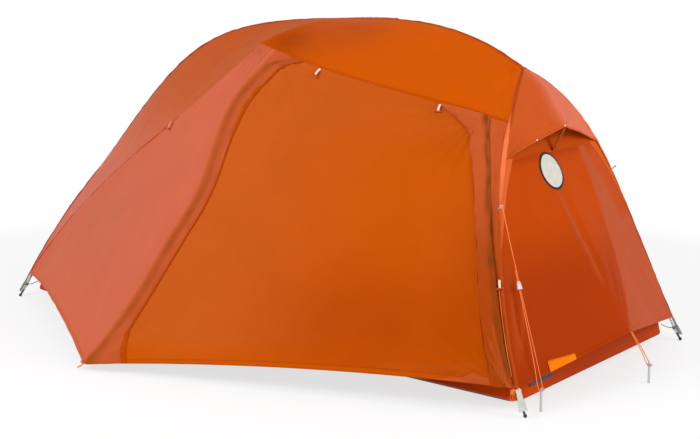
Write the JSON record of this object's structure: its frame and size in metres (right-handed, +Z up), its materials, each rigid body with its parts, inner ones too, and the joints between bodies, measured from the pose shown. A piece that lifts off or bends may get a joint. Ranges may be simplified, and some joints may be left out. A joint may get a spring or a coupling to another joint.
{
  "type": "one-door backpacking tent on a hubbed pole frame",
  "caption": "Low trekking tent on a hubbed pole frame: coated fly with a side vestibule and hooded head vent over an inner tent with a tub floor.",
  "frame": {"origin": "on the ground under the middle of the floor", "axes": "+X along the tent to its tall head end, -Y to the door and vestibule, +Z up"},
  "size_m": [2.4884, 1.5064, 1.0939],
  "materials": {
    "pole": "satin anodised tube",
    "hub_plastic": "fine texture",
    "top_cloth": "coated rip-stop nylon, slightly translucent",
    "side_cloth": "coated rip-stop nylon, slightly translucent",
    "door_cloth": "coated rip-stop nylon, slightly translucent",
    "end_cloth": "coated rip-stop nylon, slightly translucent",
    "vent_net": "fine knitted netting",
    "zip_tape": "woven zip tape with coil teeth",
    "floor_cloth": "heavier coated nylon",
    "inner_cloth": "thin breathable nylon",
    "webbing": "woven webbing",
    "pale_plastic": "moulded",
    "toggle_plastic": "moulded",
    "cord": "braided cord",
    "peg_alloy": "satin"
  },
  "bodies": {
    "tent": {"spine_head_section": "pole", "spine_foot_section": "pole", "near_head_leg": "pole", "far_head_leg": "pole", "near_foot_leg": "pole", "far_foot_leg": "pole", "brow_pole": "pole", "head_hub": "hub_plastic", "foot_hub": "hub_plastic", "brow_clip": "hub_plastic", "near_head_tip": "hub_plastic", "far_head_tip": "hub_plastic", "near_foot_tip": "hub_plastic", "far_foot_tip": "hub_plastic", "fly_top_near": "top_cloth", "fly_top_far": "top_cloth", "fly_roof_near": "side_cloth", "fly_roof_far": "side_cloth", "fly_far_wall": "side_cloth", "fly_foot_wall": "side_cloth", "fly_vestibule_side": "side_cloth", "fly_leg_strip": "side_cloth", "vent_hood": "side_cloth", "fly_head_wall": "end_cloth", "vent_mesh": "vent_net", "left_zip_side_tape": "zip_tape", "right_zip_side_tape": "zip_tape", "inner_floor": "floor_cloth", "inner_roof": "inner_cloth", "inner_head_wall": "inner_cloth", "inner_foot_wall": "inner_cloth", "inner_far_wall": "inner_cloth", "inner_near_wall": "inner_cloth", "near_head_tether": "webbing", "far_head_tether": "webbing", "near_foot_tether": "webbing", "far_foot_tether": "webbing", "near_guy_tab": "webbing", "far_guy_tab": "webbing", "guyline": "cord", "head_tie_out": "cord", "vestibule_loop": "cord", "guy_peg": "peg_alloy", "tie_out_peg": "peg_alloy"},
    "door": {"vestibule_door": "door_cloth", "left_storm_flap": "door_cloth", "right_storm_flap": "door_cloth", "left_zip_door_tape": "zip_tape", "right_zip_door_tape": "zip_tape"},
    "door_toggle_left_body": {"door_toggle_left": "toggle_plastic"},
    "door_toggle_right_body": {"door_toggle_right": "toggle_plastic"},
    "crease_toggle_body": {"crease_toggle": "toggle_plastic"},
    "leg_toggle_body": {"leg_toggle": "toggle_plastic"},
    "left_slider": {"left_zip_slider": "hub_plastic"},
    "right_slider": {"right_zip_slider": "hub_plastic"},
    "inner_slider": {"inner_zip_slider": "hub_plastic"},
    "inner_door_body": {"inner_door": "inner_cloth"},
    "prop": {"vent_prop": "hub_plastic"},
    "tensioner": {"line_tensioner": "pale_plastic"},
    "lock": {"cord_lock": "toggle_plastic"}
  },
  "joints": [
    {"name": "vestibule_door_lift", "type": "hinge", "parent": "tent", "child": "door", "pos_m": [0.1337, -0.377, 0.9977], "axis": [-0.9509, -0.1948, 0.2404], "range_deg": [0, 60]},
    {"name": "left_zip_run", "type": "hinge", "parent": "tent", "child": "left_slider", "pos_m": [-0.869, -2.019, 1.166], "axis": [-0.0005, -0.8624, 0.5062], "range_deg": [0, 14.3]},
    {"name": "right_zip_run", "type": "hinge", "parent": "tent", "child": "right_slider", "pos_m": [5.603, -1.47, 2.164], "axis": [-0.6299, 0.6659, -0.3997], "range_deg": [0, 4.3]},
    {"name": "vent_prop_fold", "type": "hinge", "parent": "tent", "child": "prop", "pos_m": [0.9427, 0, 0.6984], "axis": [0, 1, 0], "range_deg": [0, 60]},
    {"name": "inner_door_swing", "type": "hinge", "parent": "tent", "child": "inner_door_body", "pos_m": [0.6594, -0.4047, 0.33], "axis": [0, -0.2758, -0.9612], "range_deg": [0, 40]},
    {"name": "inner_zip_slide", "type": "slide", "parent": "tent", "child": "inner_slider", "axis": [0, 0.0771, 0.997], "range_m": [0, 0.2]},
    {"name": "tensioner_slide", "type": "slide", "parent": "tent", "child": "tensioner", "axis": [0.329, -0.1151, -0.9373], "range_m": [-0.025, 0.025]},
    {"name": "cord_lock_slide", "type": "slide", "parent": "tent", "child": "lock", "axis": [0, 0, -1], "range_m": [0, 0.01]},
    {"name": "door_toggle_left_lift", "type": "hinge", "parent": "door", "child": "door_toggle_left_body", "pos_m": [0.2831, -0.3486, 0.9461], "axis": [-0.8483, -0.0513, 0.527], "range_deg": [0, 90]},
    {"name": "door_toggle_right_lift", "type": "hinge", "parent": "door", "child": "door_toggle_right_body", "pos_m": [0.69, -0.2659, 0.8503], "axis": [-0.9582, -0.2615, 0.1163], "range_deg": [0, 90]},
    {"name": "crease_toggle_lift", "type": "hinge", "parent": "tent", "child": "crease_toggle_body", "pos_m": [-0.3475, -0.3795, 0.736], "axis": [-0.8903, 0.4553, 0], "range_deg": [0, 90]},
    {"name": "leg_toggle_lift", "type": "hinge", "parent": "tent", "child": "leg_toggle_body", "pos_m": [1.0261, -0.4536, 0.3719], "axis": [-0.9252, -0.3313, -0.1852], "range_deg": [0, 90]}
  ]
}
